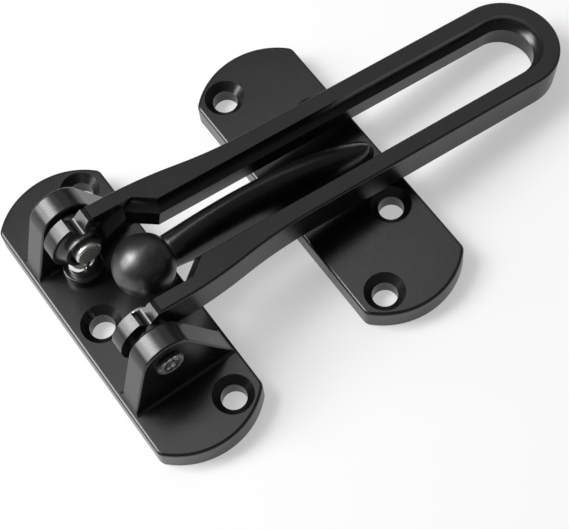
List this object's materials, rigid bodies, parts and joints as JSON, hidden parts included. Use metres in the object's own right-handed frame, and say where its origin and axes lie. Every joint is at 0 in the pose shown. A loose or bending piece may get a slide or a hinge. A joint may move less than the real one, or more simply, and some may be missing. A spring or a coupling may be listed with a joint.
{
  "type": "swing bar door guard",
  "caption": "Swing bar door guard: slotted bar hinged between two ears on a base plate, with a catch plate whose curved horn carries a ball.",
  "frame": {"origin": "centre of the base plate's back face, on the mounting surface", "axes": "+Z out of the mounting surface, +X from the hinge towards the catch plate, Y along the hinge axis with the left ear on +Y"},
  "size_m": [0.1265, 0.0752, 0.026],
  "materials": {
    "black_coat": "satin black coating",
    "bright_steel": "bright turned steel",
    "spring_steel": "drawn spring wire"
  },
  "bodies": {
    "mounting": {"base_plate": "black_coat", "left_pivot_pin": "bright_steel", "right_pivot_pin": "bright_steel", "left_detent_spring": "spring_steel", "right_detent_spring": "spring_steel", "catch_plate": "black_coat"},
    "bar": {"swing_bar": "black_coat"},
    "left_plunger": {"left_detent_plunger": "bright_steel"},
    "right_plunger": {"right_detent_plunger": "bright_steel"}
  },
  "joints": [
    {"name": "bar_swing", "type": "hinge", "parent": "mounting", "child": "bar", "pos_m": [-0.0017, 0, 0.0194], "axis": [0, -1, 0], "range_deg": [0, 180]},
    {"name": "left_plunger_slide", "type": "slide", "parent": "mounting", "child": "left_plunger", "axis": [0, 0, 1], "range_m": [-0.0017, 0.001], "stiffness_N_per_m": 400, "deforming": ["left_detent_spring"]},
    {"name": "right_plunger_slide", "type": "slide", "parent": "mounting", "child": "right_plunger", "axis": [0, 0, 1], "range_m": [-0.0017, 0.001], "stiffness_N_per_m": 400, "deforming": ["right_detent_spring"]}
  ]
}
